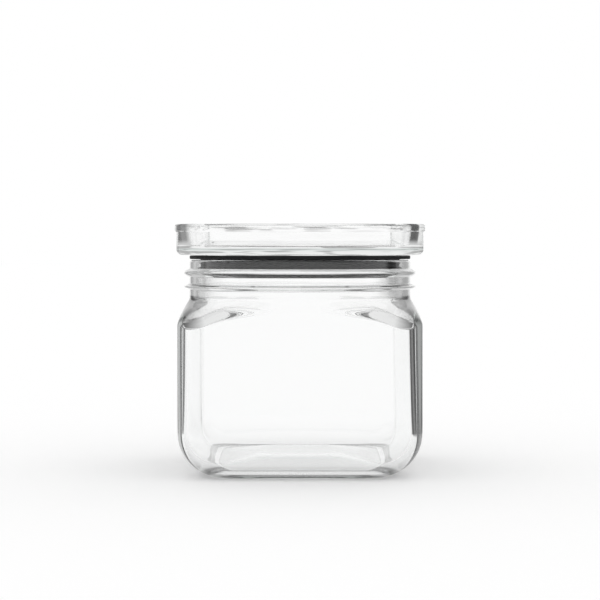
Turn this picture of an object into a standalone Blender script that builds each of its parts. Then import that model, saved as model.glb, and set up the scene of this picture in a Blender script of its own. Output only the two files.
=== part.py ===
"""Storage jar: a square clear-glass jar with a round neck, a square glass lid whose recess takes the
foot of the next jar, and the silicone seal that is stretched round the lid's plug.

The jar stands on z = 0 with its middle on the Z axis, and its front looks along -Y.
"""

import math
from collections import namedtuple

import bmesh
import bpy

MM = 0.001

# Body of the jar
BODY_WIDTH = 89.8 * MM
BODY_CORNER_R = 11.0 * MM
BODY_WALL = 3.4 * MM
JAR_HEIGHT = 80.2 * MM

# Heel: the arc from the sides down to the foot, and the angle that it turns through
HEEL_R = 18.5 * MM
HEEL_TURN = math.radians(67)

# Foot: the flat ring that the jar stands on, round a push-up
FOOT_CORNER_R = 12.0 * MM
FOOT_RING_WIDTH = 3.0 * MM
PUSH_UP_HEIGHT = 3.1 * MM
PUSH_UP_SLOPE_WIDTH = 16.5 * MM
PUSH_UP_CORNER_R = 5.0 * MM
FLOOR_THICKNESS = 3.2 * MM

# Shoulder and neck: the powers say how fast the shoulder runs out, at a side and at a corner
SHOULDER_HEIGHT = 10.5 * MM
SHOULDER_SIDE_POWER = 5.0
SHOULDER_CORNER_POWER = 2.4
SHOULDER_INSIDE_DROP = 1.6 * MM
NECK_HEIGHT = 14.2 * MM
NECK_R = 42.4 * MM
NECK_WALL = 2.6 * MM
LIP_OUTER_ROUND_SHARE = 0.45
LIP_INNER_ROUND_SHARE = 0.35

# The two moulded rings round the neck, the upper one full and the lower one pointed
RING_PROUD = 2.1 * MM
UPPER_RING_HEIGHT = 3.2 * MM
UPPER_RING_POWER = 0.45
UPPER_RING_DROP = 4.9 * MM
LOWER_RING_HEIGHT = 2.6 * MM
LOWER_RING_POWER = 1.0
RING_SPACING = 5.3 * MM

# Lid: a square tray, as wide as the body below its rim, with its thickest glass at the corners
LID_HEIGHT = 11.2 * MM
LID_CORNER_R = 8.0 * MM
LID_WALL = 1.8 * MM
LID_FLOOR = 2.3 * MM
LID_RIM_PROUD = 0.6 * MM
LID_RIM_HEIGHT = 3.0 * MM
LID_RIM_OUTER_ROUND = 0.8 * MM
LID_RIM_INNER_ROUND = 0.9 * MM
LID_RECESS_CORNER_R = 12.0 * MM
LID_RECESS_DRAFT = 0.5 * MM
LID_RECESS_ROUND = 1.5 * MM
LID_LOWER_ROUND = 2.0 * MM

# Plug: the round ring under the lid that carries the seal
PLUG_WALL = 2.6 * MM
PLUG_LIP_PROUD = 0.8 * MM
PLUG_LIP_HEIGHT = 1.4 * MM
PLUG_ROOT_ROUND = 1.2 * MM

# Silicone seal
FLANGE_THICKNESS = 1.4 * MM
FLANGE_EDGE_ROUND_SHARE = 0.4
SLEEVE_THICKNESS = 1.2 * MM
SLEEVE_DEPTH = 4.6 * MM
FIN_COUNT = 2
FIN_LENGTH = 1.2 * MM
FIN_ROOT_SHARE = 0.55
FIN_TIP_SHARE = 0.2

# Gap between pieces that touch on the real jar
SEAT_GAP = 0.3 * MM

# How finely the shapes are cut
QUARTER_STEPS = 16
CORNER_CROWDING = 0.5
TURN_STEPS = 64
HEEL_STEPS = 7
SHOULDER_STEPS = 10
RING_STEPS = 6
ROUND_STEPS = 3
MERGE_DISTANCE = 0.01 * MM
SHARP_ANGLE = math.radians(40)

GLASS_COLOUR = (0.93, 0.96, 0.95, 1.0)
GLASS_ROUGHNESS = 0.02
GLASS_IOR = 1.5
SILICONE_COLOUR = (0.03, 0.03, 0.032, 1.0)
SILICONE_ROUGHNESS = 0.55

BODY_HALF = BODY_WIDTH / 2
HEEL_HEIGHT = HEEL_R * math.sin(HEEL_TURN)
FOOT_HALF = BODY_HALF - HEEL_R * (1 - math.cos(HEEL_TURN))
RING_INNER_HALF = FOOT_HALF - FOOT_RING_WIDTH
PUSH_UP_HALF = RING_INNER_HALF - PUSH_UP_SLOPE_WIDTH
NECK_FOOT_Z = JAR_HEIGHT - NECK_HEIGHT
NECK_INNER_R = NECK_R - NECK_WALL
FIN_TIP_R = NECK_INNER_R - SEAT_GAP
SLEEVE_R = FIN_TIP_R - FIN_LENGTH
SLEEVE_BORE_R = SLEEVE_R - SLEEVE_THICKNESS
PLUG_R = SLEEVE_BORE_R - SEAT_GAP
FLANGE_TOP_Z = -SEAT_GAP
FLANGE_FOOT_Z = FLANGE_TOP_Z - FLANGE_THICKNESS
SLEEVE_FOOT_Z = FLANGE_FOOT_Z - SLEEVE_DEPTH
LID_RIM_HALF = BODY_HALF + LID_RIM_PROUD
LID_SEAT_Z = JAR_HEIGHT + SEAT_GAP - FLANGE_FOOT_Z

# A level section: its height, its half width across the flats and the radius of its corners. A
# section is a circle where that radius is the half width.
Section = namedtuple("Section", "z half corner")


def clear_scene():
    for old in list(bpy.data.objects):
        bpy.data.objects.remove(old)


def new_collection(name):
    collection = bpy.data.collections.new(name)
    bpy.context.scene.collection.children.link(collection)
    return collection


def new_material(name, colour, roughness):
    material = bpy.data.materials.new(name)
    material.use_nodes = True
    shader = material.node_tree.nodes["Principled BSDF"]
    shader.inputs["Base Color"].default_value = colour
    shader.inputs["Roughness"].default_value = roughness
    shader.inputs["Metallic"].default_value = 0.0
    return material


def glass(name):
    material = new_material(name, GLASS_COLOUR, GLASS_ROUGHNESS)
    shader = material.node_tree.nodes["Principled BSDF"]
    shader.inputs["Transmission Weight"].default_value = 1.0
    shader.inputs["IOR"].default_value = GLASS_IOR
    return material


def new_object(name, mesh, material, collection, parent):
    mesh.materials.append(material)
    piece = bpy.data.objects.new(name, mesh)
    collection.objects.link(piece)
    piece.parent = parent
    return piece


def arc(centre_x, centre_z, radius, start, end, steps=ROUND_STEPS):
    """Points of an arc in a profile, between two angles in degrees, with 0 pointing outwards."""
    points = []
    for step in range(steps + 1):
        angle = math.radians(start + (end - start) * step / steps)
        points.append((centre_x + radius * math.cos(angle), centre_z + radius * math.sin(angle)))
    return points


def outline_angles():
    """The directions of a section's points over one quarter turn, closer together at its corner."""
    angles = []
    for step in range(QUARTER_STEPS):
        share = step / QUARTER_STEPS
        shift = CORNER_CROWDING * math.sin(2 * math.pi * share) / (2 * math.pi)
        angles.append(math.pi / 2 * (share + shift))
    return angles


def section_radius(section, angle):
    """How far from the axis a section's edge lies, in a direction within the first quarter turn."""
    across = math.cos(angle)
    along = math.sin(angle)
    straight = section.half - section.corner
    if section.half * along <= straight * across:
        return section.half / across
    if section.half * across <= straight * along:
        return section.half / along
    reach = straight * (across + along)
    return reach + math.sqrt(section.corner**2 - (straight * (across - along)) ** 2)


def level_ring(z, radii):
    """A level ring of points all round, from the radii of its first quarter turn."""
    points = []
    for quarter in range(4):
        for angle, radius in zip(outline_angles(), radii):
            turned_angle = angle + quarter * math.pi / 2
            points.append((radius * math.cos(turned_angle), radius * math.sin(turned_angle), z))
    return points


def section_ring(section):
    return level_ring(section.z, [section_radius(section, angle) for angle in outline_angles()])


def loft(name, rings):
    """A closed mesh through rings of points in turn, with the first and last ones filled level."""
    mesh = bpy.data.meshes.new(name)
    shape = bmesh.new()
    loops = [[shape.verts.new(point) for point in ring] for ring in rings]
    for loop, following in zip(loops, loops[1:]):
        for index, corner in enumerate(loop):
            after = (index + 1) % len(loop)
            shape.faces.new((corner, loop[after], following[after], following[index]))
    shape.faces.new(loops[0])
    shape.faces.new(loops[-1])
    bmesh.ops.recalc_face_normals(shape, faces=shape.faces)
    shape.to_mesh(mesh)
    shape.free()
    mesh.shade_smooth()
    mesh.set_sharp_from_angle(angle=SHARP_ANGLE)
    return mesh


def round_section(radius, z):
    return Section(z, radius, radius)


def heel_section(share, wall, floor):
    """A section of the heel, from its top at share 0 to the foot at share 1.

    The inside is the same curve, taken in by the wall at its top and up by the floor at its foot.
    """
    angle = HEEL_TURN * share
    inwards = HEEL_R * (1 - math.cos(angle))
    rise = floor * math.sin(angle) / math.sin(HEEL_TURN)
    corner = BODY_CORNER_R + (FOOT_CORNER_R - BODY_CORNER_R) * inwards / (BODY_HALF - FOOT_HALF)
    taken_in = wall * math.cos(angle)
    return Section(
        HEEL_HEIGHT - HEEL_R * math.sin(angle) + rise, BODY_HALF - inwards - taken_in, corner - taken_in
    )


def shoulder_ring(share, wall, drop):
    """The shoulder at one level, from the round neck at share 0 to the square body at share 1.

    In each direction it runs out in a smooth curve, which is quick at the sides and slow at the
    corners. The inside is the same shape, taken in by the wall and down by the drop.
    """
    neck_r = NECK_R - wall
    body = Section(0.0, BODY_HALF - wall, BODY_CORNER_R - wall)
    reaches = [section_radius(body, angle) for angle in outline_angles()]
    radii = []
    for reach in reaches:
        squareness = (reach - min(reaches)) / (max(reaches) - min(reaches))
        power = SHOULDER_SIDE_POWER + (SHOULDER_CORNER_POWER - SHOULDER_SIDE_POWER) * squareness**2
        spread = 1 - (1 - share) ** power * (1 + power * share)
        radii.append(neck_r + (reach - neck_r) * spread)
    return level_ring(NECK_FOOT_Z - SHOULDER_HEIGHT * share - drop, radii)


def neck_ring_sections(centre_z, height, power):
    """A moulded ring on the neck, from its lower edge to its upper one."""
    sections = []
    for step in range(RING_STEPS + 1):
        place = 2 * step / RING_STEPS - 1
        swell = max((1 + math.cos(math.pi * place)) / 2, 0) ** power
        sections.append(round_section(NECK_R + RING_PROUD * swell, centre_z + height / 2 * place))
    return sections


def underside_sections():
    """The push-up and the ring that the jar stands on."""
    return [
        Section(PUSH_UP_HEIGHT, PUSH_UP_HALF, PUSH_UP_CORNER_R),
        Section(0.0, RING_INNER_HALF, FOOT_CORNER_R - FOOT_RING_WIDTH),
    ]


def outside_rings():
    """The outside of the jar, from the foot to the top of the neck."""
    sections = underside_sections()
    sections += [heel_section(1 - step / HEEL_STEPS, 0.0, 0.0) for step in range(HEEL_STEPS + 1)]
    rings = [section_ring(section) for section in sections]
    rings += [shoulder_ring(1 - step / SHOULDER_STEPS, 0.0, 0.0) for step in range(SHOULDER_STEPS + 1)]
    upper_ring_z = JAR_HEIGHT - UPPER_RING_DROP
    neck = neck_ring_sections(upper_ring_z - RING_SPACING, LOWER_RING_HEIGHT, LOWER_RING_POWER)
    neck += neck_ring_sections(upper_ring_z, UPPER_RING_HEIGHT, UPPER_RING_POWER)
    return rings + [section_ring(section) for section in neck + lip_sections()]


def lip_sections():
    """The rounded lip, from the outside of the neck over the top to the inside."""
    outer_round = NECK_WALL * LIP_OUTER_ROUND_SHARE
    inner_round = NECK_WALL * LIP_INNER_ROUND_SHARE
    outer = arc(NECK_R - outer_round, JAR_HEIGHT - outer_round, outer_round, 0, 90)
    inner = arc(NECK_INNER_R + inner_round, JAR_HEIGHT - inner_round, inner_round, 90, 180)
    return [round_section(radius, z) for radius, z in outer + inner]


def inside_rings():
    """The inside of the jar, from the foot of the neck down to the middle of the floor."""
    rings = []
    for step in range(SHOULDER_STEPS + 1):
        share = step / SHOULDER_STEPS
        wall = NECK_WALL + (BODY_WALL - NECK_WALL) * share
        rings.append(shoulder_ring(share, wall, SHOULDER_INSIDE_DROP))
    sections = [heel_section(step / HEEL_STEPS, BODY_WALL, FLOOR_THICKNESS) for step in range(HEEL_STEPS + 1)]
    for section in reversed(underside_sections()):
        sections.append(section._replace(z=section.z + FLOOR_THICKNESS))
    return rings + [section_ring(section) for section in sections]


def make_jar(collection, parent):
    mesh = loft("glass_jar", outside_rings() + inside_rings())
    return new_object("glass_jar", mesh, glass("jar_glass"), collection, parent)


def lid_section(half, z):
    """A section of the lid's tray, whose corners share their centres with the rim's."""
    return Section(z, half, LID_CORNER_R - (LID_RIM_HALF - half))


def recess_sections():
    """The recess, from its floor up to the top of the rim, with rounder corners than the outside."""
    recess_half = BODY_HALF - LID_WALL
    recess_foot_half = recess_half - LID_RECESS_DRAFT
    recess_round_z = LID_FLOOR + LID_RECESS_ROUND
    inner_round_z = LID_HEIGHT - LID_RIM_INNER_ROUND
    profile = arc(recess_foot_half - LID_RECESS_ROUND, recess_round_z, LID_RECESS_ROUND, -90, 0)
    profile += arc(recess_half + LID_RIM_INNER_ROUND, inner_round_z, LID_RIM_INNER_ROUND, 180, 90)
    return [Section(z, half, LID_RECESS_CORNER_R - (recess_half - half)) for half, z in profile]


def tray_sections():
    """The tray's outside, from the top of the rim down to its underside."""
    rim_foot_z = LID_HEIGHT - LID_RIM_HEIGHT
    outer_round_z = LID_HEIGHT - LID_RIM_OUTER_ROUND
    profile = arc(LID_RIM_HALF - LID_RIM_OUTER_ROUND, outer_round_z, LID_RIM_OUTER_ROUND, 90, 0)
    profile += [(LID_RIM_HALF, rim_foot_z + LID_RIM_PROUD), (BODY_HALF, rim_foot_z)]
    profile += arc(BODY_HALF - LID_LOWER_ROUND, LID_LOWER_ROUND, LID_LOWER_ROUND, 0, -90)
    return [lid_section(half, z) for half, z in profile]


def plug_sections():
    """The plug, from its root down round the lip that holds the seal, and up inside it."""
    lip_round = PLUG_LIP_HEIGHT / 2
    lip_x = PLUG_R + PLUG_LIP_PROUD - lip_round
    foot_z = SLEEVE_FOOT_Z - SEAT_GAP - PLUG_LIP_HEIGHT
    bore_r = PLUG_R - PLUG_WALL
    profile = [(PLUG_R, 0.0), (PLUG_R, foot_z + PLUG_LIP_HEIGHT)]
    profile += arc(lip_x, foot_z + lip_round, lip_round, 90, -90, 2 * ROUND_STEPS)
    profile += [(bore_r, foot_z)]
    profile += arc(bore_r - PLUG_ROOT_ROUND, -PLUG_ROOT_ROUND, PLUG_ROOT_ROUND, 0, 90)
    return [round_section(radius, z) for radius, z in profile]


def make_lid(collection, parent):
    sections = recess_sections() + tray_sections() + plug_sections()
    mesh = loft("glass_lid", [section_ring(section) for section in sections])
    return new_object("glass_lid", mesh, glass("lid_glass"), collection, parent)


def seal_profile():
    """The seal's closed outline: the flange on the jar's lip, and the finned sleeve round the plug."""
    edge_round = FLANGE_THICKNESS * FLANGE_EDGE_ROUND_SHARE
    edge_x = NECK_R - edge_round
    profile = [(SLEEVE_BORE_R, FLANGE_TOP_Z)]
    profile += arc(edge_x, FLANGE_TOP_Z - edge_round, edge_round, 90, 0)
    profile += arc(edge_x, FLANGE_FOOT_Z + edge_round, edge_round, 0, -90)
    profile += [(SLEEVE_R, FLANGE_FOOT_Z)]
    fin_spacing = SLEEVE_DEPTH / FIN_COUNT
    for fin in range(FIN_COUNT):
        fin_z = FLANGE_FOOT_Z - fin_spacing * (fin + 1 / 2)
        root = fin_spacing * FIN_ROOT_SHARE / 2
        tip = fin_spacing * FIN_TIP_SHARE / 2
        profile += [(SLEEVE_R, fin_z + root), (FIN_TIP_R, fin_z + tip)]
        profile += [(FIN_TIP_R, fin_z - tip), (SLEEVE_R, fin_z - root)]
    profile += [(SLEEVE_R, SLEEVE_FOOT_Z), (SLEEVE_BORE_R, SLEEVE_FOOT_Z)]
    return profile


def make_seal(collection, parent):
    """The seal, turned from its profile round the axis of the neck."""
    points = [(radius, 0.0, z) for radius, z in seal_profile()]
    edges = [(index, (index + 1) % len(points)) for index in range(len(points))]
    mesh = bpy.data.meshes.new("silicone_seal")
    mesh.from_pydata(points, edges, [])
    material = new_material("black_silicone", SILICONE_COLOUR, SILICONE_ROUGHNESS)
    seal = new_object("silicone_seal", mesh, material, collection, parent)
    screw = seal.modifiers.new("turn", "SCREW")
    screw.angle = 2 * math.pi
    screw.steps = TURN_STEPS
    screw.render_steps = TURN_STEPS
    screw.use_merge_vertices = True
    screw.merge_threshold = MERGE_DISTANCE
    screw.use_smooth_shade = True
    return seal


def main():
    clear_scene()
    collection = new_collection("storage_jar")
    lid_seat = bpy.data.objects.new("lid_seat", None)
    lid_seat.location = (0.0, 0.0, LID_SEAT_Z)
    collection.objects.link(lid_seat)
    make_jar(collection, None)
    make_lid(collection, lid_seat)
    make_seal(collection, lid_seat)


main()
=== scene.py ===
"""The looks of the storage jar: fine glass and silicone pieces in place of the CAD solids, the
finishes, and a plain white studio with the camera where the photograph was taken."""
import math
import bmesh
import bpy
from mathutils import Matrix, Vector


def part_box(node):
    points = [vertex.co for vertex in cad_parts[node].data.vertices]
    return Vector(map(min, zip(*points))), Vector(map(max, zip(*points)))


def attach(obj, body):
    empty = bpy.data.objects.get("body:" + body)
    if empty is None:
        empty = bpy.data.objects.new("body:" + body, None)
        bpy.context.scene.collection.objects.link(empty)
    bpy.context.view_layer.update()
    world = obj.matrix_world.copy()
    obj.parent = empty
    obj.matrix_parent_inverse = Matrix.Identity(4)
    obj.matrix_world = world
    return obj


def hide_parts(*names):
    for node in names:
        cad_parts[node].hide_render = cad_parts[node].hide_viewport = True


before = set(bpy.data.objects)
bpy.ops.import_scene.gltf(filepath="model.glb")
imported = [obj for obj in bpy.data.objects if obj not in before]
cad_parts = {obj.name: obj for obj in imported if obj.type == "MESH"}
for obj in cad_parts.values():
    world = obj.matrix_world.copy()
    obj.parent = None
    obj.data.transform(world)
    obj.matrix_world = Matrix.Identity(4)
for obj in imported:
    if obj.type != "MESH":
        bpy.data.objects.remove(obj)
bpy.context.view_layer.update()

MM = 0.001

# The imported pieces' boxes, which the fine pieces are fitted to
JAR_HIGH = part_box("glass_jar")[1]
LID_LOW, LID_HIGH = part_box("glass_lid")
SEAL_LOW, SEAL_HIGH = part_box("silicone_seal")

# Body of the jar
BODY_HALF = JAR_HIGH.x
BODY_CORNER_R = 11.0 * MM
BODY_WALL = 3.4 * MM
JAR_TOP = JAR_HIGH.z

# Heel, foot and the inside's unevenness
HEEL_R = 18.5 * MM
HEEL_TURN = math.radians(67)
HEEL_HEIGHT = HEEL_R * math.sin(HEEL_TURN)
FOOT_HALF = BODY_HALF - HEEL_R * (1 - math.cos(HEEL_TURN))
FOOT_CORNER_R = 12.0 * MM
FOOT_RING_WIDTH = 3.0 * MM
RING_INNER_HALF = FOOT_HALF - FOOT_RING_WIDTH
PUSH_UP_HEIGHT = 3.1 * MM
PUSH_UP_SLOPE_WIDTH = 16.5 * MM
PUSH_UP_HALF = RING_INNER_HALF - PUSH_UP_SLOPE_WIDTH
PUSH_UP_CORNER_R = 5.0 * MM
FLOOR_THICKNESS = 3.2 * MM
RIGHT_THICKENING_LOW = 0.4 * MM
RIGHT_THICKENING_HIGH = 1.0 * MM
LEFT_THINNING = 0.08 * MM

# Shoulder and neck
SHOULDER_HEIGHT = 10.5 * MM
SHOULDER_SIDE_POWER = 5.0
SHOULDER_CORNER_POWER = 2.4
NECK_HEIGHT = 14.2 * MM
NECK_FOOT_Z = JAR_TOP - NECK_HEIGHT
SHOULDER_LOW = NECK_FOOT_Z - SHOULDER_HEIGHT
NECK_R = 42.4 * MM
NECK_WALL = 2.6 * MM
LIP_OUTER_ROUND_SHARE = 0.45
LIP_INNER_ROUND_SHARE = 0.35
RING_PROUD = 2.1 * MM
UPPER_RING_HEIGHT = 3.2 * MM
UPPER_RING_POWER = 0.45
UPPER_RING_DROP = 4.9 * MM
UPPER_RING_Z = JAR_TOP - UPPER_RING_DROP
LOWER_RING_HEIGHT = 2.6 * MM
LOWER_RING_POWER = 1.0
RING_SPACING = 5.3 * MM
LOWER_RING_Z = UPPER_RING_Z - RING_SPACING

# Lid
LID_RIM_HALF = LID_HIGH.x
LID_TOP = LID_HIGH.z
LID_HEIGHT = 11.2 * MM
LID_SEAT_Z = LID_TOP - LID_HEIGHT
LID_RIM_PROUD = LID_RIM_HALF - BODY_HALF
LID_CORNER_R = 8.0 * MM
LID_RECESS_CORNER_R = 12.0 * MM
LID_WALL = 1.8 * MM
LID_FLOOR = 2.3 * MM
LID_RIM_HEIGHT = 3.0 * MM
LID_RIM_OUTER_ROUND = 0.8 * MM
LID_RIM_INNER_ROUND = 0.9 * MM
LID_RECESS_DRAFT = 0.5 * MM
LID_RECESS_ROUND = 1.5 * MM
LID_LOWER_ROUND = 2.0 * MM
PLUG_FOOT_Z = LID_LOW.z
PLUG_R = 36.8 * MM
PLUG_WALL = 2.6 * MM
PLUG_LIP_PROUD = 0.8 * MM
PLUG_LIP_HEIGHT = 1.4 * MM
PLUG_ROOT_ROUND = 1.2 * MM

# Seal
FLANGE_THICKNESS = 1.4 * MM
FLANGE_EDGE_ROUND = 0.5 * MM
SLEEVE_R = 38.3 * MM
SLEEVE_BORE_R = 37.1 * MM
FIN_COUNT = 2
FIN_TIP_R = 39.5 * MM
FIN_HALF_ROOT = 0.63 * MM
FIN_TIP_ROUND = 0.23 * MM
FIN_SPACING = 2.3 * MM
SHARP_ANGLE = math.radians(40)

# Camera, floor and world
CAMERA_LENS = 105.0
CAMERA_SENSOR = 36.0
CAMERA_PLACE = (0.0, -0.674, 0.084)
CAMERA_TILT = math.radians(1.64)
FLOOR_GREY = 0.8
FLOOR_ROUGHNESS = 0.9
FLOOR_REACH = 10.0
# Share of plain glow in the floor where it is seen through the glass: painted light that lightens the jar's
# shadow there
THROUGH_GLASS_PAINTED_LIGHT = 0.45

# Brightness of the studio at the left and the right, by how far a direction points back
LEFT_CARD = (
    (0.41, 1.0), (0.48, 0.5), (0.54, 0.15), (0.66, 0.14), (0.71, 0.5), (0.75, 0.8), (0.79, 0.8),
    (0.83, 0.3), (0.86, 0.1), (0.925, 0.1), (0.945, 0.9), (0.985, 0.94), (1.0, 1.0),
)
RIGHT_CARD = (
    (0.12, 1.0), (0.18, 0.8), (0.24, 0.3), (0.28, 0.06), (0.37, 0.06), (0.42, 0.12), (0.5, 0.2),
    (0.6, 0.15), (0.66, 0.05), (0.75, 0.03), (0.86, 0.05), (0.9, 0.5), (0.93, 1.0),
)
CARD_TOP = 0.45
CARD_FADE = 0.8
CARD_NEAR = 0.1
CARD_FAR = 0.2

# Glass
GLASS_IOR = 1.5
ABSORPTION_COLOUR = (0.66, 0.72, 0.70, 1.0)
ABSORPTION_DENSITY = 12.0
MOST_REFLECTIONS = 2

# Brightness of the painted glow, painted light and shade, in the jar's body, at the left by how squarely
# the glass is seen, at the right by depth, and at the foot by height
SIDE_START = 0.84
LEFT_PAINTED_GLOW = ((0.45, 0.6), (0.61, 0.5), (0.65, 0.02), (0.74, 0.02), (0.79, 0.5), (0.85, 0.6))
RIGHT_PAINTED_GLOW = (
    (0.2, 0.42), (0.26, 0.3), (0.3, 0.22), (0.36, 0.18), (0.42, 0.2), (0.47, 0.13), (0.58, 0.12),
    (0.64, 0.3), (0.7, 0.5),
)
DEEP_PAINTED_GLOW = 0.97
FOOT_PAINTED_GLOW = ((0.0, 0.1), (0.008, 0.2), (0.02, 0.55), (0.045, 0.95), (0.06, 1.0))
FOOT_PAINTED_GLOW_HEIGHT = 100.0 * MM

# Brightness of the painted glow, painted shade, in the shoulder, by how far out it lies, and in the sides
# of the neck
PAINTED_GLOW_EDGE = 1.0 * MM
SHOULDER_PAINTED_GLOW = ((0.0, 0.9), (0.8, 0.8), (0.88, 0.4), (0.93, 0.15), (0.96, 0.1), (1.0, 0.12))
SHOULDER_PAINTED_GLOW_HIGH = NECK_FOOT_Z + 2.5 * MM
LEFT_NECK_PAINTED_GLOW = 0.6
RIGHT_NECK_PAINTED_GLOW = 0.65

# Brightness of the painted glow, painted light and shade, in the lid, in its sides by depth
LID_PAINTED_GLOW = 0.9
LID_STREAK_PAINTED_GLOW = LID_PAINTED_GLOW / 2
LEFT_LID_PAINTED_GLOW = (
    (0.0, 0.75), (0.76, 0.7), (0.775, 0.22), (0.785, 0.14), (0.797, 0.18), (0.806, 0.27), (0.844, 0.28),
    (0.855, 0.4), (0.866, 0.5), (0.88, 0.66), (1.0, 0.8),
)
RIGHT_LID_PAINTED_GLOW = ((0.0, 0.85), (0.798, 0.85), (0.808, 0.16), (0.825, 0.09), (0.9, 0.1), (1.0, 0.3))
LID_SIDE_HALF = 42.0 * MM
LID_DARK_LOW = 85.2 * MM
LID_DARK_HIGH = 87.6 * MM
LID_SIDE_LIGHT = 0.62

# Painted shade in the jar's colour: on the neck by how squarely it is seen, on the shoulder by how far out
# it lies, and at the foot by height
PAINTED_SHADE_EDGE = 1.0 * MM
LEFT_NECK_PAINTED_SHADE = ((0.1, 1.0), (0.25, 0.95), (0.35, 0.62), (0.5, 0.75), (0.62, 0.95), (0.72, 1.0))
RIGHT_NECK_PAINTED_SHADE = ((0.1, 1.0), (0.2, 0.9), (0.3, 0.55), (0.5, 0.55), (0.62, 0.75), (0.72, 1.0))
SHOULDER_PAINTED_SHADE = ((0.74, 1.0), (0.78, 0.88), (0.82, 0.68), (0.86, 0.48), (0.9, 0.32), (1.0, 0.3))
SHOULDER_PAINTED_SHADE_START = 0.82
SHOULDER_PAINTED_SHADE_FULL = 0.7
SHOULDER_PAINTED_SHADE_RISE = 4.0 * MM
FOOT_PAINTED_SHADE = ((0.0, 0.4), (0.2, 0.35), (0.4, 0.3), (0.65, 0.25), (0.8, 0.2), (0.9, 0.5), (1.0, 1.0))
FOOT_PAINTED_SHADE_HEIGHT = 2.1 * MM
LEVEL_START = 0.95

# Streaks: how often they vary in a metre level and upwards, and between which noise values they show; the
# foot's dashes are painted light, the lid's streaks painted shade, and the silicone's speckle sets its
# roughness
FOOT_PAINTED_LIGHT_DASHES = (700.0, 1.0, 0.48, 0.56)
DASH_LOW = 0.85 * MM
DASH_HIGH = 1.15 * MM
DASH_EDGE = 0.1 * MM
LID_PAINTED_GLOW_STREAKS = (60.0, 600.0, 0.5, 0.62)
RIM_PAINTED_SHADE_STREAKS = (70.0, 1200.0, 0.54, 0.6)
RIM_PAINTED_SHADE_STREAKS_LOW = LID_TOP - 3.0 * MM
RIM_PAINTED_SHADE_STREAKS_HIGH = LID_TOP - 2.4 * MM
# Painted shade: how grey the lid's rim streaks make the glass's colour
RIM_STREAK_PAINTED_SHADE = ((0.0, 1.0), (1.0, 0.5))
SILICONE_SPECKLE = (900.0, 1500.0, 0.4, 0.7)

# Waves: how often they vary in a metre level and upwards, and how strong they are
JAR_WAVES = (60.0, 300.0)
BODY_WAVE_STRENGTH = 0.05
NECK_WAVE_STRENGTH = 0.5
LID_WAVES = (80.0, 400.0)
LID_WAVE_STRENGTH = 0.1
GLASS_WAVE_HEIGHT = 0.1 * MM
SILICONE_WAVES = (700.0, 1200.0)
SILICONE_WAVE_STRENGTH = 0.2
SILICONE_WAVE_HEIGHT = 0.05 * MM

# Silicone
SILICONE_COLOUR = (0.005, 0.005, 0.006, 1.0)
SILICONE_SPECULAR = 0.2
SILICONE_LEAST_ROUGH = 0.5
SILICONE_MOST_ROUGH = 0.7

# How finely the pieces are cut
QUARTER_STEPS = 96
CORNER_CROWDING = 0.5
CURVE_STEPS = 24
ROUND_STEPS = 8
LONG_BAND = 2.0 * MM
HOLD_DISTANCE = 0.1 * MM


def outline_angles():
    """The directions of a section's points, closer together at its four corners."""
    angles = []
    for step in range(4 * QUARTER_STEPS):
        quarter, place = divmod(step, QUARTER_STEPS)
        share = place / QUARTER_STEPS
        shift = CORNER_CROWDING * math.sin(2 * math.pi * share) / (2 * math.pi)
        angles.append(math.pi / 2 * (quarter + share + shift))
    return angles


ANGLES = outline_angles()


def section_radius(half, corner, angle):
    """How far from the axis a rounded square's edge lies in one direction."""
    across = abs(math.cos(angle))
    along = abs(math.sin(angle))
    straight = half - corner
    if half * along <= straight * across:
        return half / across
    if half * across <= straight * along:
        return half / along
    turned = straight * (across - along)
    return straight * (across + along) + math.sqrt(max(corner**2 - turned**2, 0))


def arc(centre_x, centre_z, radius, start, end, steps=ROUND_STEPS):
    """Points of an arc in a profile, between two angles in degrees, with 0 pointing outwards."""
    turns = [math.radians(start + (end - start) * step / steps) for step in range(steps + 1)]
    return [(centre_x + radius * math.cos(turn), centre_z + radius * math.sin(turn)) for turn in turns]


def shares(steps=CURVE_STEPS):
    """Even steps from 0 to 1."""
    return [step / steps for step in range(steps + 1)]


def ring(z, radii):
    """A level ring of points, from its radii in the directions of ANGLES."""
    points = []
    for angle, radius in zip(ANGLES, radii):
        points.append(Vector((radius * math.cos(angle), radius * math.sin(angle), z)))
    return points


def square_ring(z, half, corner):
    return ring(z, [section_radius(half, corner, angle) for angle in ANGLES])


def round_ring(z, radius):
    return ring(z, [radius] * len(ANGLES))


def normals(rings):
    """The outward directions of a surface through rings that run upwards."""
    found = []
    for index, loop in enumerate(rings):
        above = rings[min(index + 1, len(rings) - 1)]
        below = rings[max(index - 1, 0)]
        row = []
        for place in range(len(loop)):
            along = loop[(place + 1) % len(loop)] - loop[place - 1]
            row.append(along.cross(above[place] - below[place]).normalized())
        found.append(row)
    return found


def moved_in(rings, walls):
    """The surface through rings, moved inwards along its normals by each ring's wall."""
    found = []
    for loop, row, wall in zip(rings, normals(rings), walls):
        found.append([point - normal * wall for point, normal in zip(loop, row)])
    return found


def held(rings):
    """The rings, with more of them near the ends of long bands, so that only the bends are shaded round."""
    found = [rings[0]]
    for before, after in zip(rings, rings[1:]):
        longest = max((last - first).length for first, last in zip(before, after))
        if longest > LONG_BAND:
            for share in (HOLD_DISTANCE / longest, 1 - HOLD_DISTANCE / longest):
                found.append([first.lerp(last, share) for first, last in zip(before, after)])
        found.append(after)
    return found


def drawn_in(points):
    """A ring just inside another one, which keeps the middle of a level face flat."""
    middle = Vector((0.0, 0.0, points[0].z))
    return [point.lerp(middle, HOLD_DISTANCE / (point - middle).length) for point in points]


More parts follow.
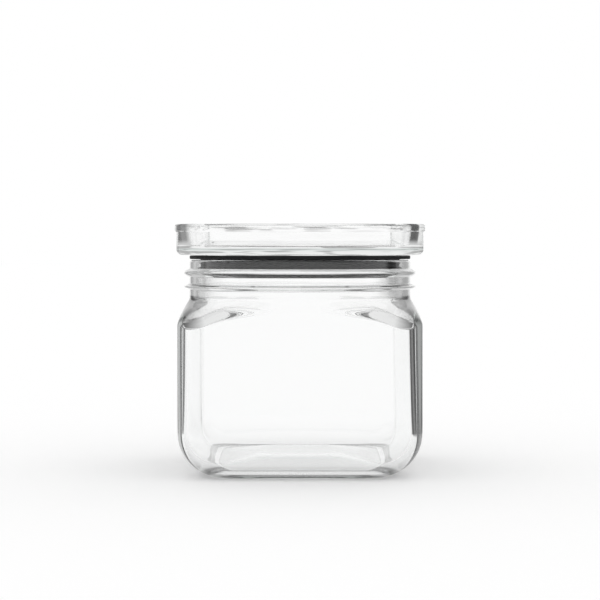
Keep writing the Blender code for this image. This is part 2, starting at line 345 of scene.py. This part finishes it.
def loft(name, rings, capped=True):
    """A closed mesh through rings of points."""
    mesh = bpy.data.meshes.new(name)
    shape = bmesh.new()
    if capped:
        rings = [drawn_in(rings[0])] + rings + [drawn_in(rings[-1])]
    loops = [[shape.verts.new(point) for point in points] for points in held(rings)]
    pairs = list(zip(loops, loops[1:]))
    if capped:
        for loop in (loops[0], loops[-1]):
            centre = shape.verts.new((0.0, 0.0, loop[0].co.z))
            for corner, after in zip(loop, loop[1:] + loop[:1]):
                shape.faces.new((corner, after, centre))
    else:
        pairs.append((loops[-1], loops[0]))
    for loop, following in pairs:
        for index, corner in enumerate(loop):
            after = (index + 1) % len(loop)
            shape.faces.new((corner, loop[after], following[after], following[index]))
    bmesh.ops.recalc_face_normals(shape, faces=shape.faces)
    shape.to_mesh(mesh)
    shape.free()
    mesh.shade_smooth()
    piece = bpy.data.objects.new(name, mesh)
    bpy.context.scene.collection.objects.link(piece)
    return piece


def heel(share):
    """A ring of the heel, from its top at share 0 to the foot at share 1."""
    angle = HEEL_TURN * share
    inwards = HEEL_R * (1 - math.cos(angle))
    corner = BODY_CORNER_R + (FOOT_CORNER_R - BODY_CORNER_R) * inwards / (BODY_HALF - FOOT_HALF)
    return square_ring(HEEL_HEIGHT - HEEL_R * math.sin(angle), BODY_HALF - inwards, corner)


def shoulder(share):
    """A ring of the shoulder, from the round neck at share 0 to the square body at share 1."""
    body = [section_radius(BODY_HALF, BODY_CORNER_R, angle) for angle in ANGLES]
    radii = []
    for reach in body:
        squareness = ((reach - min(body)) / (max(body) - min(body))) ** 2
        power = SHOULDER_SIDE_POWER + (SHOULDER_CORNER_POWER - SHOULDER_SIDE_POWER) * squareness
        spread = 1 - (1 - share) ** power * (1 + power * share)
        radii.append(NECK_R + (reach - NECK_R) * spread)
    return ring(NECK_FOOT_Z - SHOULDER_HEIGHT * share, radii)


def neck_ring(centre_z, height, power):
    rings = []
    for share in shares():
        place = 2 * share - 1
        swell = max((1 + math.cos(math.pi * place)) / 2, 0) ** power
        rings.append(round_ring(centre_z + height / 2 * place, NECK_R + RING_PROUD * swell))
    return rings


def underside(lift):
    """The push-up, from its flat middle to the bearing ring."""
    rings = []
    for share in shares():
        half = PUSH_UP_HALF + PUSH_UP_SLOPE_WIDTH * share
        corner = PUSH_UP_CORNER_R + (FOOT_CORNER_R - FOOT_RING_WIDTH - PUSH_UP_CORNER_R) * share
        rings.append(square_ring(lift + PUSH_UP_HEIGHT * (1 - share), half, corner))
    return rings


def jar_rings():
    heel_rings = [heel(1 - share) for share in shares()]
    shoulder_rings = [shoulder(1 - share) for share in shares()]
    body_rings = heel_rings + shoulder_rings
    outer_round = NECK_WALL * LIP_OUTER_ROUND_SHARE
    inner_round = NECK_WALL * LIP_INNER_ROUND_SHARE
    lip = arc(NECK_R - outer_round, JAR_TOP - outer_round, outer_round, 0, 90)
    lip += arc(NECK_R - NECK_WALL + inner_round, JAR_TOP - inner_round, inner_round, 90, 180)
    floor_wall = FLOOR_THICKNESS / math.sin(HEEL_TURN)
    walls = [BODY_WALL + (floor_wall - BODY_WALL) * (1 - share) ** 2 for share in shares()]
    walls += [BODY_WALL + (NECK_WALL - BODY_WALL) * share**2 * (3 - 2 * share) for share in shares()]
    inside = moved_in(body_rings, walls)
    outside = underside(0.0) + body_rings
    outside += neck_ring(LOWER_RING_Z, LOWER_RING_HEIGHT, LOWER_RING_POWER)
    outside += neck_ring(UPPER_RING_Z, UPPER_RING_HEIGHT, UPPER_RING_POWER)
    outside += [round_ring(z, radius) for radius, z in lip]
    inside = [[uneven(point) for point in loop] for loop in inside]
    inside.reverse()
    inside += reversed(underside(FLOOR_THICKNESS))
    return outside + inside


def uneven(point):
    """A point of the inside, moved as pressed glass is uneven: thicker at the right and high up."""
    rise = min(max((point.z - HEEL_HEIGHT) / (SHOULDER_LOW - HEEL_HEIGHT), 0), 1)
    fade = min(max((NECK_FOOT_Z - point.z) / SHOULDER_HEIGHT, 0), 1)
    side = min(max(point.x / BODY_HALF, -1), 1)
    if side > 0:
        shift = (RIGHT_THICKENING_LOW + (RIGHT_THICKENING_HIGH - RIGHT_THICKENING_LOW) * rise) * side
    else:
        shift = LEFT_THINNING * -side
    foot = min(point.z / HEEL_HEIGHT, 1)
    return Vector((point.x - shift * fade * foot, point.y, point.z))


def make_jar():
    return loft("clear_jar", jar_rings())


def lid_section(half, z):
    return square_ring(LID_SEAT_Z + z, half, LID_CORNER_R - (LID_RIM_HALF - half))


def recess_section(half, z):
    return square_ring(LID_SEAT_Z + z, half, LID_RECESS_CORNER_R - (BODY_HALF - LID_WALL - half))


def make_lid():
    recess_half = BODY_HALF - LID_WALL
    foot_half = recess_half - LID_RECESS_DRAFT
    rim_foot_z = LID_HEIGHT - LID_RIM_HEIGHT
    outer, inner = LID_RIM_OUTER_ROUND, LID_RIM_INNER_ROUND
    recess = arc(foot_half - LID_RECESS_ROUND, LID_FLOOR + LID_RECESS_ROUND, LID_RECESS_ROUND, -90, 0)
    recess += arc(recess_half + inner, LID_HEIGHT - inner, inner, 180, 90)
    profile = arc(LID_RIM_HALF - outer, LID_HEIGHT - outer, outer, 90, 0)
    for share in shares(ROUND_STEPS):
        swell = (1 + math.cos(math.pi * share)) / 2
        profile.append((BODY_HALF + LID_RIM_PROUD * swell, rim_foot_z + LID_RIM_PROUD * (1 - share)))
    profile += arc(BODY_HALF - LID_LOWER_ROUND, LID_LOWER_ROUND, LID_LOWER_ROUND, 0, -90)
    sections = [recess_section(half, z) for half, z in recess]
    sections += [lid_section(half, z) for half, z in profile]
    lip_round = PLUG_LIP_HEIGHT / 2
    lip_x = PLUG_R + PLUG_LIP_PROUD - lip_round
    bore_r = PLUG_R - PLUG_WALL
    plug = [(PLUG_R, LID_SEAT_Z), (PLUG_R, PLUG_FOOT_Z + PLUG_LIP_HEIGHT)]
    plug += arc(lip_x, PLUG_FOOT_Z + lip_round, lip_round, 90, -90, 2 * ROUND_STEPS)
    plug += arc(bore_r + lip_round, PLUG_FOOT_Z + lip_round, lip_round, -90, -180)
    plug += arc(bore_r - PLUG_ROOT_ROUND, LID_SEAT_Z - PLUG_ROOT_ROUND, PLUG_ROOT_ROUND, 0, 90)
    sections += [round_ring(z, radius) for radius, z in plug]
    return loft("clear_lid", sections)


def make_seal():
    top = SEAL_HIGH.z
    flange_foot = top - FLANGE_THICKNESS
    foot = SEAL_LOW.z
    edge_x = NECK_R - FLANGE_EDGE_ROUND
    profile = [(SLEEVE_BORE_R, top)]
    profile += arc(edge_x, top - FLANGE_EDGE_ROUND, FLANGE_EDGE_ROUND, 90, 0)
    profile += arc(edge_x, flange_foot + FLANGE_EDGE_ROUND, FLANGE_EDGE_ROUND, 0, -90)
    profile.append((SLEEVE_R, flange_foot))
    for fin in range(FIN_COUNT):
        fin_z = flange_foot - FIN_SPACING * (fin + 1 / 2)
        profile.append((SLEEVE_R, fin_z + FIN_HALF_ROOT))
        profile += arc(FIN_TIP_R - FIN_TIP_ROUND, fin_z, FIN_TIP_ROUND, 90, -90)
        profile.append((SLEEVE_R, fin_z - FIN_HALF_ROOT))
    profile += [(SLEEVE_R, foot), (SLEEVE_BORE_R, foot)]
    piece = loft("black_seal", [round_ring(z, radius) for radius, z in profile], capped=False)
    piece.data.set_sharp_from_angle(angle=SHARP_ANGLE)
    return piece


def feed(tree, socket, value):
    """Sets an input to a number, or links it to another node's output."""
    if isinstance(value, bpy.types.NodeSocket):
        tree.links.new(value, socket)
    else:
        socket.default_value = value


def calculate(tree, operation, *values):
    """The output of a Math node, whose inputs are numbers or other nodes' outputs."""
    node = tree.nodes.new("ShaderNodeMath")
    node.operation = operation
    for place, value in enumerate(values):
        feed(tree, node.inputs[place], value)
    return node.outputs["Value"]


def ramp(tree, value, start, end, first, last):
    """A value led smoothly from first to last as another goes from start to end."""
    node = tree.nodes.new("ShaderNodeMapRange")
    node.interpolation_type = "SMOOTHSTEP"
    tree.links.new(value, node.inputs["Value"])
    for name, number in (("From Min", start), ("From Max", end), ("To Min", first), ("To Max", last)):
        feed(tree, node.inputs[name], number)
    return node.outputs["Result"]


def mixed(tree, share, first, last):
    """The first value where a share is 0 and the last where it is 1."""
    return ramp(tree, share, 0.0, 1.0, first, last)


def between(tree, value, low, high, soft):
    """1 where a value lies between two others, with soft ends."""
    rising = ramp(tree, value, low, low + soft, 0.0, 1.0)
    falling = ramp(tree, value, high - soft, high, 1.0, 0.0)
    return calculate(tree, "MULTIPLY", rising, falling)


def more_than(tree, count, number):
    """1 where a count in whole numbers is above a number."""
    return calculate(tree, "GREATER_THAN", count, number + 0.5)


def tones(tree, value, stops):
    """A brightness read off a table of places and tones."""
    node = tree.nodes.new("ShaderNodeValToRGB")
    tree.links.new(value, node.inputs["Fac"])
    elements = node.color_ramp.elements
    while len(elements) < len(stops):
        elements.new(0.5)
    for element, (place, tone) in zip(elements, stops):
        element.position = place
    for element, (place, tone) in zip(elements, stops):
        element.color = (tone, tone, tone, 1.0)
    return node.outputs["Color"]


def separated(tree, vector):
    """The parts of a vector, by their names X, Y and Z."""
    node = tree.nodes.new("ShaderNodeSeparateXYZ")
    tree.links.new(vector, node.inputs["Vector"])
    return node.outputs


def coordinates(tree, name):
    return separated(tree, tree.nodes.new("ShaderNodeTexCoord").outputs[name])


def facing(tree):
    """How squarely a surface is seen, from 0 at its outline to 1."""
    node = tree.nodes.new("ShaderNodeLayerWeight")
    node.inputs["Blend"].default_value = 0.5
    return calculate(tree, "SUBTRACT", 1.0, node.outputs["Facing"])


def outwards(tree, distance):
    """How far out a place lies, from 0 on the axis to 1 at the body's side."""
    return calculate(tree, "DIVIDE", calculate(tree, "ABSOLUTE", distance), BODY_HALF)


def at_right(tree, parts):
    return calculate(tree, "GREATER_THAN", parts["X"], 0.0)


def level_length(tree, parts):
    """How long a vector is, seen from above."""
    squares = [calculate(tree, "MULTIPLY", parts[name], parts[name]) for name in ("X", "Y")]
    return calculate(tree, "SQRT", calculate(tree, "ADD", *squares))


def unevenness(tree, parts, around, upright):
    """Noise that varies so many times a metre along the level directions and upwards."""
    join = tree.nodes.new("ShaderNodeCombineXYZ")
    for name, scale in (("X", around), ("Y", around), ("Z", upright)):
        tree.links.new(calculate(tree, "MULTIPLY", parts[name], scale), join.inputs[name])
    noise = tree.nodes.new("ShaderNodeTexNoise")
    noise.inputs["Scale"].default_value = 1.0
    noise.inputs["Detail"].default_value = 1.0
    tree.links.new(join.outputs["Vector"], noise.inputs["Vector"])
    return noise.outputs["Fac"]


def streaks(tree, parts, around, upright, start, end):
    """Thin wavy lines that run round a piece, as a value from 0 to 1."""
    return ramp(tree, unevenness(tree, parts, around, upright), start, end, 0.0, 1.0)


def waves(tree, shader, parts, around, upright, strength, distance):
    """A faint waviness in the surface."""
    bump = tree.nodes.new("ShaderNodeBump")
    bump.inputs["Distance"].default_value = distance
    feed(tree, bump.inputs["Strength"], strength)
    tree.links.new(unevenness(tree, parts, around, upright), bump.inputs["Height"])
    tree.links.new(bump.outputs["Normal"], shader.inputs["Normal"])


def emission(tree, strength):
    node = tree.nodes.new("ShaderNodeEmission")
    feed(tree, node.inputs["Strength"], strength)
    return node.outputs["Emission"]


def mixed_shaders(tree, share, first, last):
    node = tree.nodes.new("ShaderNodeMixShader")
    tree.links.new(share, node.inputs["Fac"])
    tree.links.new(first, node.inputs[1])
    tree.links.new(last, node.inputs[2])
    return node.outputs["Shader"]


def new_material(name):
    material = bpy.data.materials.new(name)
    material.use_nodes = True
    return material, material.node_tree, material.node_tree.nodes["Principled BSDF"]


def glass(name, painted_glow_of):
    """Clear glass, in which light that has been reflected too often ends in a painted glow, an even grey of
    painted light and shade.
    """
    material, tree, shader = new_material(name)
    shader.inputs["Transmission Weight"].default_value = 1.0
    shader.inputs["Roughness"].default_value = 0.0
    shader.inputs["IOR"].default_value = GLASS_IOR
    shader.inputs["Base Color"].default_value = (1.0, 1.0, 1.0, 1.0)
    parts = coordinates(tree, "Object")
    path = tree.nodes.new("ShaderNodeLightPath").outputs
    ended, strength = painted_glow_of(tree, parts, path)
    # Painted light and shade: where light ends, the glass glows a set grey in place of what lies beyond
    surface = mixed_shaders(tree, ended, shader.outputs["BSDF"], emission(tree, strength))
    tree.links.new(surface, tree.nodes["Material Output"].inputs["Surface"])
    volume = tree.nodes.new("ShaderNodeVolumeAbsorption")
    volume.inputs["Color"].default_value = ABSORPTION_COLOUR
    volume.inputs["Density"].default_value = ABSORPTION_DENSITY
    tree.links.new(volume.outputs["Volume"], tree.nodes["Material Output"].inputs["Volume"])
    return tree, shader, parts, material


def jar_painted_glow(tree, parts, path):
    """Where light ends in the jar's glass, and how bright its painted glow, painted light and shade, is
    there.

    Light ends anywhere once it has been reflected too often, and after one reflection on the shoulder
    and at the sides of the neck.
    """
    wide = outwards(tree, parts["X"])
    right = at_right(tree, parts)
    right_tones = tones(tree, outwards(tree, parts["Y"]), RIGHT_PAINTED_GLOW)
    edge = mixed(tree, right, tones(tree, facing(tree), LEFT_PAINTED_GLOW), right_tones)
    deep = more_than(tree, path["Transmission Depth"], 1)
    at_side = calculate(tree, "GREATER_THAN", wide, SIDE_START)
    clear = calculate(tree, "MAXIMUM", deep, calculate(tree, "SUBTRACT", 1.0, at_side))
    inside = mixed(tree, clear, edge, DEEP_PAINTED_GLOW)
    low = tones(tree, calculate(tree, "DIVIDE", parts["Z"], FOOT_PAINTED_GLOW_HEIGHT), FOOT_PAINTED_GLOW)
    often = more_than(tree, path["Glossy Depth"], MOST_REFLECTIONS)
    once = more_than(tree, path["Glossy Depth"], 0)
    on_shoulder = between(tree, parts["Z"], SHOULDER_LOW, SHOULDER_PAINTED_GLOW_HIGH, PAINTED_GLOW_EDGE)
    on_neck = ramp(tree, parts["Z"], NECK_FOOT_Z, NECK_FOOT_Z + PAINTED_GLOW_EDGE, 0.0, at_side)
    above = calculate(tree, "MAXIMUM", on_shoulder, on_neck)
    ended = calculate(tree, "MAXIMUM", often, calculate(tree, "MULTIPLY", once, above))
    neck = mixed(tree, right, LEFT_NECK_PAINTED_GLOW, RIGHT_NECK_PAINTED_GLOW)
    upper = mixed(tree, on_neck, tones(tree, wide, SHOULDER_PAINTED_GLOW), neck)
    return ended, mixed(tree, above, calculate(tree, "MULTIPLY", inside, low), upper)


def lid_painted_glow(tree, parts, path):
    """Where light ends in the lid's glass, and how bright its painted glow, painted light and shade, is
    there.

    The painted shade is darkest at the ends of the lid's sides, where the recess's corners send light.
    """
    depth = outwards(tree, parts["Y"])
    right = at_right(tree, parts)
    dark = mixed(tree, right, tones(tree, depth, LEFT_LID_PAINTED_GLOW), tones(tree, depth, RIGHT_LID_PAINTED_GLOW))
    side = ramp(tree, parts["Z"], LID_DARK_LOW, LID_DARK_HIGH, LID_SIDE_LIGHT, dark)
    outward = calculate(tree, "GREATER_THAN", calculate(tree, "ABSOLUTE", parts["X"]), LID_SIDE_HALF)
    raised = calculate(tree, "GREATER_THAN", parts["Z"], LID_SEAT_Z + LID_FLOOR)
    at_side = calculate(tree, "MULTIPLY", outward, raised)
    plain_painted_glow = mixed(tree, streaks(tree, parts, *LID_PAINTED_GLOW_STREAKS), LID_PAINTED_GLOW, LID_STREAK_PAINTED_GLOW)
    once = more_than(tree, path["Glossy Depth"], 0)
    shallow = calculate(tree, "SUBTRACT", 1.0, more_than(tree, path["Transmission Depth"], 1))
    often = more_than(tree, path["Glossy Depth"], MOST_REFLECTIONS)
    ended = calculate(tree, "MAXIMUM", often, calculate(tree, "MULTIPLY", once, shallow))
    return ended, mixed(tree, at_side, plain_painted_glow, side)


def upper_painted_shade(tree, parts):
    """The painted shade in the jar's colour where the neck and the outer parts of the shoulder turn away.
    """
    slope = facing(tree)
    right = at_right(tree, parts)
    neck = mixed(tree, right, tones(tree, slope, LEFT_NECK_PAINTED_SHADE), tones(tree, slope, RIGHT_NECK_PAINTED_SHADE))
    on_neck = ramp(tree, parts["Z"], NECK_FOOT_Z - PAINTED_SHADE_EDGE, NECK_FOOT_Z + PAINTED_SHADE_EDGE, 0.0, 1.0)
    sloping = ramp(tree, slope, SHOULDER_PAINTED_SHADE_FULL, SHOULDER_PAINTED_SHADE_START, 1.0, 0.0)
    shoulder_tones = tones(tree, outwards(tree, parts["X"]), SHOULDER_PAINTED_SHADE)
    shoulder_painted_shade = mixed(tree, sloping, 1.0, shoulder_tones)
    raised = ramp(tree, parts["Z"], SHOULDER_LOW, SHOULDER_LOW + SHOULDER_PAINTED_SHADE_RISE, 0.0, 1.0)
    return mixed(tree, raised, 1.0, mixed(tree, on_neck, shoulder_painted_shade, neck))


def foot_painted_shade(tree, parts):
    """The painted shade line under the heel, with painted light dashes in it, and nothing on the level
    faces.
    """
    line = tones(tree, calculate(tree, "DIVIDE", parts["Z"], FOOT_PAINTED_SHADE_HEIGHT), FOOT_PAINTED_SHADE)
    dashed = between(tree, parts["Z"], DASH_LOW, DASH_HIGH, DASH_EDGE)
    dashes = calculate(tree, "MULTIPLY", streaks(tree, parts, *FOOT_PAINTED_LIGHT_DASHES), dashed)
    line = mixed(tree, dashes, line, 1.0)
    direction = separated(tree, tree.nodes.new("ShaderNodeNewGeometry").outputs["Normal"])
    steepness = calculate(tree, "ABSOLUTE", direction["Z"])
    level = calculate(tree, "GREATER_THAN", steepness, LEVEL_START)
    return mixed(tree, level, line, 1.0)


def jar_glass():
    """The jar's glass, with painted shade where the neck and the shoulder turn away and along the foot, and
    wavier round the neck.
    """
    tree, shader, parts, material = glass("jar_glass", jar_painted_glow)
    # Painted shade in the glass's colour, on the neck, the shoulder and along the foot
    painted_shade = calculate(tree, "MULTIPLY", upper_painted_shade(tree, parts), foot_painted_shade(tree, parts))
    tree.links.new(painted_shade, shader.inputs["Base Color"])
    shoulder_middle = NECK_FOOT_Z - SHOULDER_HEIGHT / 2
    strength = ramp(tree, parts["Z"], shoulder_middle, NECK_FOOT_Z, BODY_WAVE_STRENGTH, NECK_WAVE_STRENGTH)
    waves(tree, shader, parts, *JAR_WAVES, strength, GLASS_WAVE_HEIGHT)
    return material


def lid_glass():
    """The lid's glass, with fine streaks of painted shade in its rim."""
    tree, shader, parts, material = glass("lid_glass", lid_painted_glow)
    rim = ramp(tree, parts["Z"], RIM_PAINTED_SHADE_STREAKS_LOW, RIM_PAINTED_SHADE_STREAKS_HIGH, 0.0, 1.0)
    seen = calculate(tree, "MULTIPLY", streaks(tree, parts, *RIM_PAINTED_SHADE_STREAKS), rim)
    tree.links.new(tones(tree, seen, RIM_STREAK_PAINTED_SHADE), shader.inputs["Base Color"])
    waves(tree, shader, parts, *LID_WAVES, LID_WAVE_STRENGTH, GLASS_WAVE_HEIGHT)
    return material


def silicone():
    material, tree, shader = new_material("black_silicone")
    shader.inputs["Base Color"].default_value = SILICONE_COLOUR
    shader.inputs["Specular IOR Level"].default_value = SILICONE_SPECULAR
    parts = coordinates(tree, "Object")
    speckle = streaks(tree, parts, *SILICONE_SPECKLE)
    roughness = mixed(tree, speckle, SILICONE_LEAST_ROUGH, SILICONE_MOST_ROUGH)
    tree.links.new(roughness, shader.inputs["Roughness"])
    waves(tree, shader, parts, *SILICONE_WAVES, SILICONE_WAVE_STRENGTH, SILICONE_WAVE_HEIGHT)
    return material


def dress(piece, material, body, node):
    piece.data.materials.append(material)
    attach(piece, body)
    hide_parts(node)


def cards(tree, parts):
    """How dark the studio is in a direction, for light that has been reflected in the glass.

    Black cards stand behind the jar at its left and right.
    """
    behind = calculate(tree, "DIVIDE", parts["Y"], level_length(tree, parts))
    right = at_right(tree, parts)
    bright = mixed(tree, right, tones(tree, behind, LEFT_CARD), tones(tree, behind, RIGHT_CARD))
    path = tree.nodes.new("ShaderNodeLightPath").outputs
    reflected = more_than(tree, path["Glossy Depth"], 0)
    return calculate(tree, "MULTIPLY", calculate(tree, "SUBTRACT", 1.0, bright), reflected)


def make_floor():
    """A white floor, which its own glow helps to white so that only the jar's shadow shows on it; painted
    light lightens that shadow where the floor is seen through the glass.
    """
    material, tree, shader = new_material("white_floor")
    shader.inputs["Base Color"].default_value = (FLOOR_GREY, FLOOR_GREY, FLOOR_GREY, 1.0)
    shader.inputs["Roughness"].default_value = FLOOR_ROUGHNESS
    shader.inputs["Specular IOR Level"].default_value = 0.0
    path = tree.nodes.new("ShaderNodeLightPath").outputs
    seen = calculate(tree, "MAXIMUM", path["Is Camera Ray"], path["Is Glossy Ray"])
    seen = calculate(tree, "MAXIMUM", seen, path["Is Transmission Ray"])
    glow = emission(tree, calculate(tree, "MULTIPLY", seen, 1 - FLOOR_GREY))
    both = tree.nodes.new("ShaderNodeAddShader")
    tree.links.new(shader.outputs["BSDF"], both.inputs[0])
    tree.links.new(glow, both.inputs[1])
    # Painted light: the floor glows more where it is seen through the glass, which lightens the jar's
    # shadow there
    through = calculate(tree, "MULTIPLY", path["Is Transmission Ray"], THROUGH_GLASS_PAINTED_LIGHT)
    lightened_through_glass = mixed_shaders(tree, through, both.outputs["Shader"], emission(tree, 1.0))
    parts = coordinates(tree, "Object")
    far = ramp(tree, level_length(tree, parts), CARD_NEAR, CARD_FAR, 0.0, 1.0)
    dark = calculate(tree, "MULTIPLY", cards(tree, parts), far)
    surface = mixed_shaders(tree, dark, lightened_through_glass, emission(tree, 0.0))
    tree.links.new(surface, tree.nodes["Material Output"].inputs["Surface"])
    mesh = bpy.data.meshes.new("floor")
    shape = bmesh.new()
    bmesh.ops.create_grid(shape, x_segments=1, y_segments=1, size=FLOOR_REACH)
    shape.to_mesh(mesh)
    shape.free()
    mesh.materials.append(material)
    floor = bpy.data.objects.new("floor", mesh)
    bpy.context.scene.collection.objects.link(floor)


def make_world():
    """White all round, with the cards low down."""
    world = bpy.data.worlds.new("studio")
    bpy.context.scene.world = world
    world.use_nodes = True
    tree = world.node_tree
    background = tree.nodes["Background"]
    parts = coordinates(tree, "Generated")
    height = calculate(tree, "ABSOLUTE", parts["Z"])
    low = ramp(tree, height, CARD_TOP, CARD_FADE, 1.0, 0.0)
    dark = calculate(tree, "MULTIPLY", cards(tree, parts), low)
    tree.links.new(calculate(tree, "SUBTRACT", 1.0, dark), background.inputs["Strength"])
    background.inputs["Color"].default_value = (1.0, 1.0, 1.0, 1.0)


def make_camera():
    data = bpy.data.cameras.new("camera")
    data.lens = CAMERA_LENS
    data.sensor_width = CAMERA_SENSOR
    camera = bpy.data.objects.new("camera", data)
    camera.location = CAMERA_PLACE
    camera.rotation_euler = (math.radians(90) - CAMERA_TILT, 0.0, 0.0)
    bpy.context.scene.collection.objects.link(camera)
    bpy.context.scene.camera = camera
    bpy.context.scene.view_settings.view_transform = "Standard"


make_camera()
make_world()
make_floor()
dress(make_jar(), jar_glass(), "jar", "glass_jar")
dress(make_lid(), lid_glass(), "lid", "glass_lid")
dress(make_seal(), silicone(), "seal", "silicone_seal")
